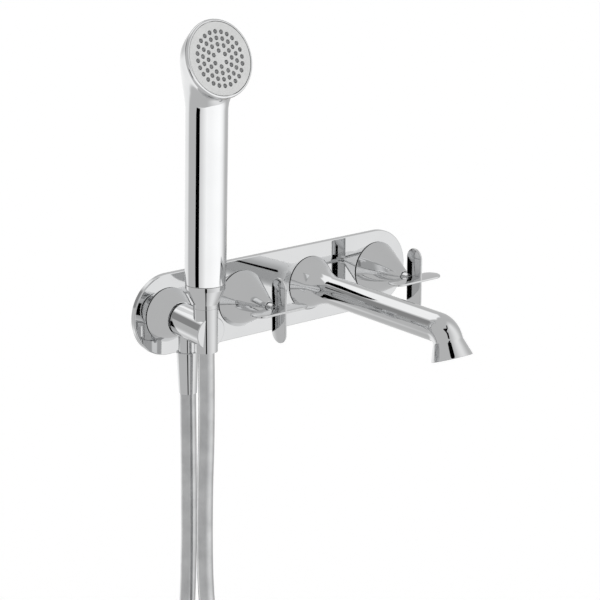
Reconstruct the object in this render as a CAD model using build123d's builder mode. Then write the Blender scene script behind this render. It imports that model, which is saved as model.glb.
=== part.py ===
"""Wall mounted bath and shower mixer with a hand shower, as an assembly of separate pieces.

Millimetres. The origin is on the finished wall, at the centre of the cover plate:
+X to the right, +Y into the wall, +Z up, so every visible piece lies on the -Y side.
"""
from build123d import *
from math import atan2, cos, degrees, pi, radians, sin, tan
import os

os.makedirs("parts", exist_ok=True)

# ---- driving dimensions --------------------------------------------------------------
pitch = 80.0                     # distance between the four stations on the plate
plate_height = 72.0
plate_length = 3 * pitch + plate_height
plate_thick = 4.5
plate_edge = 1.0                 # rounding of the front edge
front = -plate_thick             # Y of the plate's front face

outlet_x, left_x, spout_x, right_x = (-1.5 * pitch, -0.5 * pitch, 0.5 * pitch, 1.5 * pitch)
gasket_thick = 1.5
gasket_width = 7.0
seal_thick = 0.7                 # flat rubber ring under each cone's rim
seal_in, seal_wide = 0.4, 2.0    # how far it stands back from the rim, and its width
foot = front - seal_thick        # where the cones begin

wall_cone = 1.8                  # wall of the cast cones
outlet_cone_r = 23.9
handle_cone_r = 25.4
handle_cone_tip_r = 5.4
handle_cone_end = -43.4
cone_slope = (handle_cone_r - handle_cone_tip_r) / (front - handle_cone_end)
outlet_cone_end = -22.8

arm_r = 14.3
arm_start = -25.4
arm_end = -64.0
arm_droop = 5.0                  # degrees below level
neck_r = 11.8
tube_y = -56.85                  # vertical axis of the hand shower holder
tube_top_r, tube_low_r = 10.6, 9.8
tube_top, tube_low = 17.7, -20.8
tube_bore_top, tube_bore_low = 9.1, 8.1
cup_neck = 21.2
cup_bore_neck = 9.3
cup_flare = 34.5                 # where the cup's cone ends in a short straight lip
cup_top = 38.3
handset_low = 38.5
grip_r = 17.5
grip_foot_r = 17.1
grip_bore = 12.0
grip_lean = 4.8                  # how far the handle's axis leans out by the foot of the head
head_foot = 185.0                # Z where the handle begins to widen into the head

stub_y = -30.4
stub_r = 7.5                     # M15 hose thread
stub_top, stub_end = -11.9, -40.0
nut_long, nut_big_r, nut_small_r = 37.0, 9.4, 7.8
outlet_nut_top = -27.0
end_nut_top = 19.0
end_nut_big_r, end_nut_small_r = 8.8, 7.7
tail_flange, tail_shank_r, tail_bore_r = 2.7, 6.6, 3.2
hose_r = 7.0
hose_bore_r = 4.0
washer_thick = 1.4

blade_span = 58.5
blade_thick = 3.1
blade_back, blade_front = -47.4, -66.2
blade_round = 1.3
hub_r = 4.4
hub_front = -50.0
grub_y, grub_r = -45.3, 1.25
spindle_r = 3.2
running = 0.06                   # radial clearance of a running fit
free_gap = 0.3                   # clearance between moving covers

spout_slope = 1.6                # degrees below level
spout_base_r = 24.8
spout_r = 12.9
spout_wall = 2.3
spout_bend_r = 14.0
spout_mouth = (-188.9, -28.1)    # Y and Z of the centre of the mouth
spout_mouth_r = 18.0
spout_mouth_tilt = 20.0          # degrees, mouth turned outwards from facing straight down

face_centre = (-80.4, 230.1)     # Y and Z of the centre of the spray face
face_tilt = 72.0                 # degrees between the handle and the face's normal
face_r = 30.4
rim_r = 32.8
rim_back = 2.9                   # from the face back to the widest line of the rim
nozzle_rings = ((6, 0.215), (12, 0.385), (18, 0.555), (24, 0.73))
nozzle_r = 1.15
nozzle_hole_r = 1.95
plate_back, mat_back = 2.3, 4.4  # depths of the face plate's back and of the nozzle mat's back
pocket_deep = 6.2
chamber_r = 27.0

body_back, body_step, body_front, body_mid = 46.0, 28.0, 12.0, 32.0
body_half_height = 17.0
body_right, body_left, body_back_left = 134.0, -112.0, -92.0
boss_face = 0.5
seat_deep = 34.0
valve_seat_r, valve_hole_r = 12.0, 15.6
nipple_r, outlet_hole_r = 9.0, 12.6
waterway_r = 5.0
gallery_r = 6.5
inlet_pitch = 150.0
inlet_r = 9.3                    # G1/2 internal thread, minor radius
inlet_low, inlet_depth = -30.0, 15.0
branch_y, branch_r = 19.0, 4.5   # waterway from the left valve to the hand shower's outlet
branch_boss_deep, branch_seat_deep = 26.0, 22.0
lug_x, lug_z = 98.0, 22.0
lug_thick, lug_hole_r = 5.0, 2.75


def finish(builder, name):
    """Label a finished piece and write it out."""
    builder.part.label = name
    export_step(builder.part, f"parts/{name}.step")


def facing_out(x, y, z=0.0):
    """Plane whose normal points out of the wall, with its own Y axis upwards."""
    return Plane(origin=(x, y, z), x_dir=(1, 0, 0), z_dir=(0, -1, 0))


def facing_down(y, z):
    """Plane at the hand shower's station whose normal points down."""
    return Plane(origin=(outlet_x, y, z), x_dir=(1, 0, 0), z_dir=(0, 0, -1))


def turned(x, profile):
    """Solid of revolution about the horizontal axis at station x, from (y, radius) corners."""
    with BuildPart() as solid:
        with BuildSketch(Plane.YZ.offset(x)):
            with BuildLine():
                Polyline((profile[0][0], 0), *profile, (profile[-1][0], 0), close=True)
            make_face()
        revolve(axis=Axis((x, 0, 0), (0, 1, 0)))
    return solid.part


def upright(x, y, profile):
    """Solid of revolution about a vertical axis, from (radius, z) corners."""
    with BuildPart() as solid:
        with BuildSketch(Plane(origin=(x, y, 0), x_dir=(1, 0, 0), z_dir=(0, -1, 0))):
            with BuildLine():
                Polyline((0, profile[0][1]), *profile, (0, profile[-1][1]), close=True)
            make_face()
        revolve(axis=Axis((x, y, 0), (0, 0, 1)))
    return solid.part


def cone_seal(name, x, rim_r):
    """Flat rubber ring between the plate and a cone's rim."""
    with BuildPart() as seal:
        with BuildSketch(facing_out(x, front)):
            Circle(rim_r - seal_in)
            Circle(rim_r - seal_in - seal_wide, mode=Mode.SUBTRACT)
        extrude(amount=seal_thick)
    finish(seal, name)


# ---- cover plate and what is behind it -----------------------------------------------
def stadium(height):
    """Slot as long as the plate, with its ends round the outer stations."""
    SlotCenterToCenter(3 * pitch, height)


gasket_height = plate_height - 6
with BuildPart() as wall_plate:
    with BuildSketch(Plane.XZ):
        stadium(plate_height)
    extrude(amount=plate_thick)
    fillet(wall_plate.faces().sort_by(Axis.Y)[0].outer_wire().edges(), plate_edge)
    with BuildSketch(Plane.XZ):
        stadium(gasket_height)
        SlotCenterToCenter(3 * pitch, gasket_height - 2 * gasket_width, mode=Mode.SUBTRACT)
    extrude(amount=gasket_thick, mode=Mode.SUBTRACT)
    with BuildSketch(Plane.XZ):
        with Locations((left_x, 0), (right_x, 0)):
            Circle(valve_hole_r)
        with Locations((outlet_x, 0), (spout_x, 0)):
            Circle(outlet_hole_r)
    extrude(amount=plate_thick, mode=Mode.SUBTRACT)
finish(wall_plate, "wall_plate")

with BuildPart() as plate_gasket:
    with BuildSketch(Plane.XZ):
        stadium(gasket_height)
        SlotCenterToCenter(3 * pitch, gasket_height - 2 * gasket_width, mode=Mode.SUBTRACT)
    extrude(amount=gasket_thick)
finish(plate_gasket, "plate_gasket")

inlets = ((-inlet_pitch / 2, body_mid), (inlet_pitch / 2, body_mid))
with BuildPart() as inwall_body:
    # a shallow front half, a shorter back half, lugs above and below, and a boss for each station
    for left, back, near in ((body_left, body_step, body_front), (body_back_left, body_back, body_step)):
        with BuildSketch(Plane.XZ.offset(-back)):
            with Locations(((left + body_right) / 2, 0)):
                RectangleRounded(body_right - left, 2 * body_half_height, 7)
        extrude(amount=back - near)
    with BuildSketch(Plane.XZ.offset(-body_front - 2 - lug_thick)):
        for x in (-lug_x, lug_x):
            with Locations((x, 0)):
                SlotCenterToCenter(2 * lug_z, 11, rotation=90)
    extrude(amount=lug_thick)
    with BuildSketch(Plane.XZ.offset(-body_front)):
        with Locations((left_x, 0), (right_x, 0)):
            Circle(valve_seat_r + 3)
        with Locations((spout_x, 0)):
            Circle(nipple_r + 3)
    extrude(amount=body_front - boss_face)
    with BuildSketch(Plane.XZ.offset(-branch_boss_deep)):
        with Locations((outlet_x, 0)):
            Circle(nipple_r + 3)
    extrude(amount=branch_boss_deep - boss_face)
    with BuildSketch(Plane.XY.offset(inlet_low)):
        with Locations(*inlets):
            Circle(inlet_r + 4)
    extrude(amount=15)
    # inlets from below, valve seats, outlets, and the waterways that join them
    with BuildSketch(Plane.XY.offset(inlet_low)):
        with Locations(*inlets):
            Circle(inlet_r)
    extrude(amount=inlet_depth, mode=Mode.SUBTRACT)
    with BuildSketch(Plane.XY.offset(inlet_low)):
        with Locations(*inlets):
            Circle(waterway_r)
    extrude(amount=-inlet_low, mode=Mode.SUBTRACT)
    with BuildSketch(Plane.XZ):
        with Locations((left_x, 0), (right_x, 0)):
            Circle(valve_seat_r)
        with Locations((spout_x, 0)):
            Circle(nipple_r)
    extrude(amount=-seat_deep, mode=Mode.SUBTRACT)
    with BuildSketch(Plane.XZ):
        with Locations((outlet_x, 0)):
            Circle(nipple_r)
    extrude(amount=-branch_seat_deep, mode=Mode.SUBTRACT)
    with BuildSketch(Plane.YZ.offset(-inlet_pitch / 2)):
        with Locations((body_mid, 0)):
            Circle(gallery_r)
    extrude(amount=right_x + inlet_pitch / 2, mode=Mode.SUBTRACT)
    with BuildSketch(Plane.YZ.offset(outlet_x)):
        with Locations((branch_y, 0)):
            Circle(branch_r)
    extrude(amount=left_x - outlet_x, mode=Mode.SUBTRACT)
    with BuildSketch(Plane.XZ.offset(-body_front - 2 - lug_thick)):
        with GridLocations(2 * lug_x, 2 * lug_z, 2, 2):
            Circle(lug_hole_r)
    extrude(amount=lug_thick, mode=Mode.SUBTRACT)
finish(inwall_body, "inwall_body")

# ---- hand shower outlet: nipple, cone, arm with its holder tube, hose connection ------
with BuildPart() as outlet_nipple:
    add(turned(outlet_x, [(14, nipple_r), (0, nipple_r), (0, 11), (-4, 11), (-4, nipple_r), (-36, nipple_r)]))
    with BuildSketch(facing_out(outlet_x, 14)):
        Circle(waterway_r)
    extrude(amount=44, mode=Mode.SUBTRACT)
    with BuildSketch(facing_down(stub_y, 0)):
        Circle(4.2)
    extrude(amount=12, mode=Mode.SUBTRACT)
finish(outlet_nipple, "outlet_nipple")

cone_seal("outlet_cone_seal", outlet_x, outlet_cone_r)
with BuildPart() as outlet_cone:
    add(turned(outlet_x, [(foot, outlet_cone_r), (outlet_cone_end, arm_r + 0.3)]))
    add(turned(outlet_x, [(foot, outlet_cone_r - wall_cone), (outlet_cone_end, arm_r + 0.3 - wall_cone)]),
        mode=Mode.SUBTRACT)
finish(outlet_cone, "outlet_cone")

with BuildPart() as outlet_neck_ring:
    add(turned(outlet_x, [(outlet_cone_end, neck_r), (arm_start, neck_r)]))
    with BuildSketch(facing_out(outlet_x, outlet_cone_end)):
        Circle(nipple_r)
    extrude(amount=outlet_cone_end - arm_start, mode=Mode.SUBTRACT)
finish(outlet_neck_ring, "outlet_neck_ring")

droop = radians(arm_droop)
arm_plane = Plane(origin=(outlet_x, arm_start, 0), x_dir=(1, 0, 0), z_dir=(0, -cos(droop), -sin(droop)))
with BuildPart() as holder_arm:
    with BuildSketch(arm_plane.offset(-3)):
        Circle(arm_r)
    extrude(amount=3 + (arm_start - arm_end) / cos(droop))
    split(bisect_by=facing_out(outlet_x, arm_start), keep=Keep.TOP)
    fillet(holder_arm.edges().sort_by(Axis.Y)[0], 0.8)
    add(upright(outlet_x, tube_y, [(tube_low_r - 0.6, tube_low), (tube_low_r, tube_low + 0.6),
                                   (tube_top_r, tube_top)]))
    add(upright(outlet_x, tube_y, [(tube_bore_low, tube_low), (tube_bore_top, tube_top)]),
        mode=Mode.SUBTRACT)
    with BuildSketch(facing_out(outlet_x, arm_start)):
        Circle(nipple_r)
    extrude(amount=10.8, mode=Mode.SUBTRACT)
    with BuildSketch(facing_down(stub_y, 0)):
        Circle(4.2)
    extrude(amount=-stub_top, mode=Mode.SUBTRACT)
    with BuildSketch(facing_down(stub_y, stub_top)):
        Circle(stub_r)
    extrude(amount=8, mode=Mode.SUBTRACT)
finish(holder_arm, "holder_arm")

with BuildPart() as hose_outlet_stub:
    add(upright(outlet_x, stub_y, [(stub_r, stub_top), (stub_r, stub_end)]))
    add(upright(outlet_x, stub_y, [(4.2, stub_top), (4.2, -16), (5.2, -16), (5.2, stub_end)]),
        mode=Mode.SUBTRACT)
finish(hose_outlet_stub, "hose_outlet_stub")

with BuildPart() as check_valve:
    add(upright(outlet_x, stub_y, [(5.2, -17), (5.2, -31), (3.6, -33.5)]))
    add(upright(outlet_x, stub_y, [(2.4, -17), (2.4, -33.5)]), mode=Mode.SUBTRACT)
finish(check_valve, "check_valve")


def hose_nut(name, y, top, big_r, small_r, thread_deep):
    """Conical union nut that pulls the hose tail up to its thread."""
    low = top - nut_long
    with BuildPart() as nut:
        add(upright(outlet_x, y, [(big_r - 0.5, top), (big_r, top - 0.6), (small_r, low + 0.5),
                                  (small_r - 0.4, low)]))
        add(upright(outlet_x, y, [(stub_r, top), (stub_r, top - thread_deep),
                                  (tail_shank_r + free_gap, top - thread_deep),
                                  (tail_shank_r + free_gap, low)]), mode=Mode.SUBTRACT)
    finish(nut, name)


def hose_washer(name, y, top):
    """Flat sealing washer between a thread's end and a hose tail."""
    with BuildPart() as washer:
        add(upright(outlet_x, y, [(stub_r - 0.4, top), (stub_r - 0.4, top - washer_thick)]))
        add(upright(outlet_x, y, [(hose_bore_r, top), (hose_bore_r, top - washer_thick)]), mode=Mode.SUBTRACT)
    finish(washer, name)


def hose_tail(name, y, top, low):
    """Flanged brass tail crimped in the hose's end."""
    with BuildPart() as tail:
        add(upright(outlet_x, y, [(stub_r - 0.3, top), (stub_r - 0.3, top - tail_flange),
                                  (tail_shank_r, top - tail_flange), (tail_shank_r, low)]))
        add(upright(outlet_x, y, [(tail_bore_r, top), (tail_bore_r, low)]), mode=Mode.SUBTRACT)
    finish(tail, name)


outlet_tail_top = stub_end - washer_thick
hose_nut("outlet_hose_nut", stub_y, outlet_nut_top, nut_big_r, nut_small_r,
         outlet_nut_top - outlet_tail_top + tail_flange)
hose_washer("outlet_hose_washer", stub_y, stub_end)
hose_tail("outlet_hose_tail", stub_y, outlet_tail_top, outlet_nut_top - nut_long)

# ---- holder cup ----------------------------------------------------------------------
with BuildPart() as holder_cup:
    add(upright(outlet_x, tube_y, [(tube_top_r, tube_top), (tube_top_r, cup_neck), (grip_foot_r, cup_flare),
                                   (grip_foot_r, cup_top)]))
    add(upright(outlet_x, tube_y, [(tube_bore_top, tube_top), (cup_bore_neck, cup_neck),
                                   (grip_foot_r - 1.4, cup_flare), (grip_foot_r - 1.4, cup_top)]),
        mode=Mode.SUBTRACT)
finish(holder_cup, "holder_cup")

liner_foot = cup_neck + 2
liner_foot_r = cup_bore_neck + 2 * (grip_foot_r - 1.4 - cup_bore_neck) / (cup_flare - cup_neck)
with BuildPart() as cup_liner:
    add(upright(outlet_x, tube_y, [(liner_foot_r, liner_foot), (grip_foot_r - 1.4, cup_flare),
                                   (grip_foot_r - 1.4, cup_top)]))
    add(upright(outlet_x, tube_y, [(liner_foot_r - 1.1, liner_foot), (grip_foot_r - 2.5, cup_flare),
                                   (grip_foot_r - 2.5, cup_top)]), mode=Mode.SUBTRACT)
finish(cup_liner, "cup_liner")

# ---- hand shower ---------------------------------------------------------------------
hose_end_low = end_nut_top - nut_long
connector_low = end_nut_top - 12
end_tail_top = connector_low - washer_thick - 0.1
hose_nut("handset_hose_nut", tube_y, end_nut_top, end_nut_big_r, end_nut_small_r,
         end_nut_top - end_tail_top + tail_flange + free_gap)
with BuildPart() as handset_connector:
    add(upright(outlet_x, tube_y, [
        (stub_r, connector_low), (stub_r, end_nut_top + 0.2), (8.4, end_nut_top + 0.2), (8.6, liner_foot),
        (grip_foot_r - 2.9, cup_flare), (grip_foot_r - 2.9, handset_low), (grip_bore, handset_low),
        (grip_bore, handset_low + 14)]))
    add(upright(outlet_x, tube_y, [(hose_bore_r, connector_low), (hose_bore_r, handset_low + 14)]),
        mode=Mode.SUBTRACT)
finish(handset_connector, "handset_connector")
hose_washer("handset_hose_washer", tube_y, connector_low)
hose_tail("hose_end_tail", tube_y, end_tail_top, hose_end_low)

lean = atan2(grip_lean, head_foot - handset_low)
tilt = radians(face_tilt)
face_normal = (0, -sin(tilt), cos(tilt))


def face_plane(depth):
    """Plane that far behind the spray face, its normal pointing out of the face."""
    return Plane(origin=(outlet_x, face_centre[0] + depth * sin(tilt), face_centre[1] - depth * cos(tilt)),
                 x_dir=(1, 0, 0), z_dir=face_normal)


def section_plane(back_point, front_point):
    """Plane and radius of a round section of the head, from its back and front points (y, z)."""
    dy, dz = back_point[0] - front_point[0], back_point[1] - front_point[1]
    turn = atan2(dz, dy)
    middle = ((back_point[0] + front_point[0]) / 2, (back_point[1] + front_point[1]) / 2)
    plane = Plane(origin=(outlet_x, *middle), x_dir=(1, 0, 0), z_dir=(0, -sin(turn), cos(turn)))
    return plane, (dy * dy + dz * dz) ** 0.5 / 2


grip_y = tube_y - grip_lean      # handle axis where the head begins
rim_y, rim_z = (face_centre[0] + rim_back * sin(tilt), face_centre[1] - rim_back * cos(tilt))
head_sections = [
    ((grip_y + grip_r, head_foot), (grip_y - grip_r, head_foot)),
    ((grip_y + grip_r - 0.3, head_foot + 32), (grip_y - grip_r - 0.6, head_foot + 7.5)),
    ((grip_y + grip_r - 7.5, head_foot + 60), (grip_y - grip_r - 3.4, head_foot + 12.5)),
    ((rim_y + rim_r * cos(tilt), rim_z + rim_r * sin(tilt)), (rim_y - rim_r * cos(tilt), rim_z - rim_r * sin(tilt))),
]
grip_axis = (0, -sin(lean), cos(lean))
with BuildPart() as handset_shell:
    with BuildSketch(Plane.XY.offset(handset_low)):
        with Locations((outlet_x, tube_y)):
            Circle(grip_foot_r)
    with BuildSketch(Plane.XY.offset(handset_low + 26)):
        with Locations((outlet_x, tube_y - 26 * tan(lean))):
            Circle(grip_r)
    loft()
    with BuildSketch(Plane.XY.offset(handset_low + 26)):
        with Locations((outlet_x, tube_y - 26 * tan(lean))):
            Circle(grip_r)
    with BuildSketch(Plane.XY.offset(head_foot)):
        with Locations((outlet_x, grip_y)):
            Circle(grip_r)
    loft()
    for back_point, front_point in head_sections:
        plane, radius = section_plane(back_point, front_point)
        with BuildSketch(plane):
            Circle(radius)
    loft()
    with BuildSketch(face_plane(rim_back)):
        Circle(rim_r)
    with BuildSketch(face_plane(0)):
        Circle(face_r + 0.5)
    loft()
    # pocket for the spray parts, chamber, bore of the handle and seat of the connector
    with BuildSketch(face_plane(0)):
        Circle(face_r)
    extrude(amount=-pocket_deep, mode=Mode.SUBTRACT)
    with BuildSketch(face_plane(pocket_deep)):
        Circle(chamber_r)
    extrude(amount=-4, mode=Mode.SUBTRACT)
    with BuildSketch(Plane(origin=(outlet_x, tube_y - 14 * tan(lean), handset_low + 14), x_dir=(1, 0, 0),
                           z_dir=grip_axis)):
        Circle(grip_bore)
    extrude(amount=head_foot - handset_low + 6, mode=Mode.SUBTRACT)
    with BuildSketch(Plane.XY.offset(handset_low)):
        with Locations((outlet_x, tube_y)):
            Circle(grip_bore)
    extrude(amount=14, mode=Mode.SUBTRACT)
finish(handset_shell, "handset_shell")

with BuildPart() as handset_waterway:
    with BuildSketch(Plane(origin=(outlet_x, tube_y - 15 * tan(lean), handset_low + 15), x_dir=(1, 0, 0),
                           z_dir=grip_axis)):
        Circle(7)
        Circle(5, mode=Mode.SUBTRACT)
    extrude(amount=head_foot - handset_low)
finish(handset_waterway, "handset_waterway")

with BuildPart() as spray_chamber:
    with BuildSketch(face_plane(mat_back)):
        Circle(face_r - 0.1)
    extrude(amount=-1.8)
    with BuildSketch(face_plane(mat_back + 1.8)):
        with PolarLocations(12, 6):
            Circle(2.5)
    extrude(amount=1.8, mode=Mode.SUBTRACT)
finish(spray_chamber, "spray_chamber")

nozzle_places = [(fraction * face_r * cos(2 * pi * k / count + 0.5), fraction * face_r * sin(2 * pi * k / count + 0.5))
                 for count, fraction in nozzle_rings for k in range(count)]
with BuildPart() as spray_face_plate:
    with BuildSketch(face_plane(plate_back)):
        Circle(face_r - 0.25)
        with Locations(*nozzle_places):
            Circle(nozzle_hole_r, mode=Mode.SUBTRACT)
    extrude(amount=plate_back - 0.3)
finish(spray_face_plate, "spray_face_plate")

with BuildPart() as nozzle_mat:
    with BuildSketch(face_plane(mat_back)):
        Circle(face_r - 1)
    extrude(amount=mat_back - plate_back)
    with BuildSketch(face_plane(plate_back)):
        with Locations(*nozzle_places):
            Circle(nozzle_r)
    extrude(amount=plate_back - 0.9)
finish(nozzle_mat, "nozzle_mat")

with BuildPart() as spray_seal_ring:
    with BuildSketch(face_plane(mat_back)):
        Circle(face_r - 0.1)
        Circle(face_r - 1, mode=Mode.SUBTRACT)
    extrude(amount=mat_back - plate_back)
finish(spray_seal_ring, "spray_seal_ring")


# ---- cross handles -------------------------------------------------------------------
def cross_handle(side, x):
    """Cartridge, its nut, the fixed cone, and the turning spindle, hub, blades and grub screw."""
    with BuildPart() as cartridge:
        add(turned(x, [(33, valve_seat_r), (boss_face, valve_seat_r), (boss_face, 14.6), (-1.5, 14.6),
                       (-1.5, valve_seat_r), (-8, valve_seat_r), (-8, 8), (-26, 8)]))
        add(turned(x, [(8, spindle_r + running), (-26, spindle_r + running)]), mode=Mode.SUBTRACT)
    finish(cartridge, f"{side}_cartridge")

    with BuildPart() as nut:
        with BuildSketch(facing_out(x, -1.5)):
            RegularPolygon(15, 6)
            Circle(valve_seat_r, mode=Mode.SUBTRACT)
        extrude(amount=5)
    finish(nut, f"{side}_cartridge_nut")

    cone_seal(f"{side}_cone_seal", x, handle_cone_r)
    with BuildPart() as cone:
        add(turned(x, [(foot, handle_cone_r), (handle_cone_end, handle_cone_tip_r)]))
        add(turned(x, [(foot, handle_cone_r - wall_cone - 0.7), (-34, hub_r + 4), (-34, hub_r + free_gap),
                       (handle_cone_end, hub_r + free_gap)]), mode=Mode.SUBTRACT)
    finish(cone, f"{side}_handle_cone")

    with BuildPart() as spindle:
        add(turned(x, [(7, spindle_r), (-46, spindle_r)]))
    finish(spindle, f"{side}_spindle")

    with BuildPart() as hub:
        add(turned(x, [(-36, hub_r), (hub_front, hub_r)]))
        add(turned(x, [(-36, spindle_r), (-46, spindle_r)]), mode=Mode.SUBTRACT)
        with BuildSketch(Plane(origin=(x, grub_y, -hub_r), z_dir=(0, 0, 1))):
            Circle(grub_r)
        extrude(amount=hub_r - spindle_r, mode=Mode.SUBTRACT)
    finish(hub, f"{side}_handle_hub")

    with BuildPart() as grub:
        with BuildSketch(Plane(origin=(x, grub_y, -hub_r + 0.2), z_dir=(0, 0, 1))):
            Circle(grub_r)
            RegularPolygon(0.7, 6, mode=Mode.SUBTRACT)
        extrude(amount=hub_r - spindle_r - 0.2)
    finish(grub, f"{side}_grub_screw")

    middle = (blade_back + blade_front) / 2
    wide = blade_back - blade_front
    for name, plane, lap_y in (
            ("vertical_blade", Plane(origin=(x - blade_thick / 2, middle, 0), x_dir=(0, 0, 1), z_dir=(1, 0, 0)),
             middle - wide / 2),
            ("horizontal_blade", Plane(origin=(x, middle, -blade_thick / 2), x_dir=(1, 0, 0), z_dir=(0, 0, 1)),
             middle + wide / 2)):
        with BuildPart() as blade:
            with BuildSketch(plane):
                SlotOverall(blade_span, wide)
            extrude(amount=blade_thick)
            fillet(blade.edges(), blade_round)
            with BuildSketch(facing_out(x, (lap_y + middle + wide / 2) / 2)):
                Rectangle(blade_thick, blade_thick)
            extrude(amount=wide / 2, mode=Mode.SUBTRACT)
            add(turned(x, [(blade_back + 1, hub_r), (hub_front, hub_r)]), mode=Mode.SUBTRACT)
        finish(blade, f"{side}_{name}")


cross_handle("left", left_x)
cross_handle("right", right_x)

# ---- spout ---------------------------------------------------------------------------
slope = radians(spout_slope)
mouth_tilt = radians(spout_mouth_tilt)
tube_way = Vector(0, -cos(slope), -sin(slope))
nose_way = Vector(0, -sin(mouth_tilt), -cos(mouth_tilt))
base = Vector(spout_x, front, 0)
mouth = Vector(spout_x, *spout_mouth)
# where the tube's axis and the nose's axis cross
gap = mouth - base
cross = tube_way.Y * nose_way.Z - tube_way.Z * nose_way.Y
along = (gap.Y * nose_way.Z - gap.Z * nose_way.Y) / cross
corner = base + tube_way * along
setback = spout_bend_r * tan((pi / 2 - slope - mouth_tilt) / 2)
bend_start = corner - tube_way * setback
bend_end = corner + nose_way * setback
bend_centre = bend_start + Vector(0, sin(slope), -cos(slope)) * spout_bend_r
bend_turn = degrees(pi / 2 - slope - mouth_tilt)
tube_long = (bend_start - base).length


def spout_solid(inset, start, flare_r):
    """Flare, tube, bend and nose, drawn smaller all round by the inset."""
    radius = spout_r - inset
    flare_long = (flare_r - radius) / cone_slope
    with BuildPart() as solid:
        with BuildSketch(Plane(origin=base, x_dir=tube_way, z_dir=(1, 0, 0))):
            with BuildLine():
                flare = FilletPolyline((start, flare_r), (start + flare_long, radius), (tube_long, radius),
                                       radius=45)
                Polyline(flare @ 1, (tube_long, 0), (start, 0), flare @ 0)
            make_face()
        revolve(axis=Axis(base, tube_way))
        with BuildSketch(Plane(origin=bend_start, x_dir=(1, 0, 0), z_dir=tube_way)):
            Circle(radius)
        revolve(axis=Axis(bend_centre, (1, 0, 0)), revolution_arc=bend_turn)
        with BuildSketch(Plane(origin=bend_end, x_dir=(1, 0, 0), z_dir=nose_way)):
            Circle(radius)
        with BuildSketch(Plane(origin=mouth, x_dir=(1, 0, 0), z_dir=nose_way)):
            Circle(spout_mouth_r - inset)
        loft(ruled=True)
    return solid.part


with BuildPart() as spout_body:
    add(spout_solid(0, 0, spout_base_r))
    add(spout_solid(spout_wall, -0.5, spout_base_r - spout_wall), mode=Mode.SUBTRACT)
    split(bisect_by=facing_out(spout_x, foot), keep=Keep.TOP)
finish(spout_body, "spout_body")
cone_seal("spout_seal", spout_x, spout_base_r)

with BuildPart() as spout_nipple:
    add(turned(spout_x, [(32, nipple_r), (0, nipple_r), (0, 11), (-4, 11), (-4, nipple_r), (-24, nipple_r),
                         (-24, 7.4), (-27, 7.4), (-27, nipple_r), (-31, nipple_r)]))
    with BuildSketch(facing_out(spout_x, 32)):
        Circle(waterway_r)
    extrude(amount=63, mode=Mode.SUBTRACT)
finish(spout_nipple, "spout_nipple")

with BuildPart() as spout_o_ring:
    add(turned(spout_x, [(-24.2, 9.6), (-26.8, 9.6)]))
    add(turned(spout_x, [(-24.2, 7.4), (-26.8, 7.4)]), mode=Mode.SUBTRACT)
finish(spout_o_ring, "spout_o_ring")

nose_plane = Plane(origin=mouth, x_dir=(1, 0, 0), z_dir=-nose_way)
aerator_r = spout_mouth_r - spout_wall - 3.1
with BuildPart() as aerator_housing:
    with BuildSketch(nose_plane.offset(0.8)):
        Circle(aerator_r + 2.2)
    extrude(amount=1.4)
    with BuildSketch(nose_plane.offset(2.2)):
        Circle(aerator_r)
    extrude(amount=6)
    with BuildSketch(nose_plane.offset(0.8)):
        Circle(aerator_r - 1.6)
    extrude(amount=7.4, mode=Mode.SUBTRACT)
finish(aerator_housing, "aerator_housing")

screen_places = [(2.6 * i, 2.6 * j) for i in range(-3, 4) for j in range(-3, 4) if i * i + j * j < 13]
with BuildPart() as aerator_screen:
    with BuildSketch(nose_plane.offset(2.0)):
        Circle(aerator_r - 1.6)
        with Locations(*screen_places):
            RectangleRounded(1.8, 1.8, 0.3, mode=Mode.SUBTRACT)
    extrude(amount=1.6)
finish(aerator_screen, "aerator_screen")

with BuildPart() as aerator_washer:
    with BuildSketch(nose_plane.offset(8.2)):
        Circle(aerator_r - 1.2)
        Circle(aerator_r - 4, mode=Mode.SUBTRACT)
    extrude(amount=1.4)
finish(aerator_washer, "aerator_washer")

# ---- shower hose, hanging in a free loop below the fitting ----------------------------
hose_start_z = outlet_nut_top - nut_long
hose_points = [
    (-120, stub_y, hose_start_z), (-120, stub_y, -152), (-122, -29.2, -250), (-131, -29.5, -340),
    (-163, -31, -415), (-203, -33, -474), (-196, -35.5, -536), (-150, -39, -578), (-88, -43, -579),
    (-41, -46.5, -538), (-33, -49, -477), (-70, -51, -414), (-107, -52, -341), (-121, -52.5, -252),
    (-122, -54, -160), (-120, tube_y, -82), (-120, tube_y, hose_end_low - 0.2)]
runs = [(Vector(*b) - Vector(*a)).length for a, b in zip(hose_points, hose_points[1:])]
turns = [radians((Vector(*b) - Vector(*a)).get_angle(Vector(*c) - Vector(*b)))
         for a, b, c in zip(hose_points, hose_points[1:], hose_points[2:])]
radii = [0.45 * min(before, after) / tan(turn / 2) for before, after, turn in zip(runs, runs[1:], turns)]
print("hose radii", [round(radius) for radius in radii])
print("hose runs", [round(run) for run in runs])

with BuildPart() as shower_hose:
    with BuildLine() as hose_path:
        FilletPolyline(*hose_points, radius=radii)
    with BuildSketch(Plane(origin=hose_points[0], z_dir=hose_path.wire() % 0)):
        Circle(hose_r)
        Circle(hose_bore_r, mode=Mode.SUBTRACT)
    sweep()
finish(shower_hose, "shower_hose")
section = pi * (hose_r ** 2 - hose_bore_r ** 2)
hose_long = hose_path.wire().length
print(f"hose length {hose_long:.0f} mm, volume over section times length "
      f"{shower_hose.part.volume / (section * hose_long):.4f}")
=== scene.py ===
from math import atan2, cos, pi, radians, sin, tan

import bmesh
import bpy
from mathutils import Matrix, Vector


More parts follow.
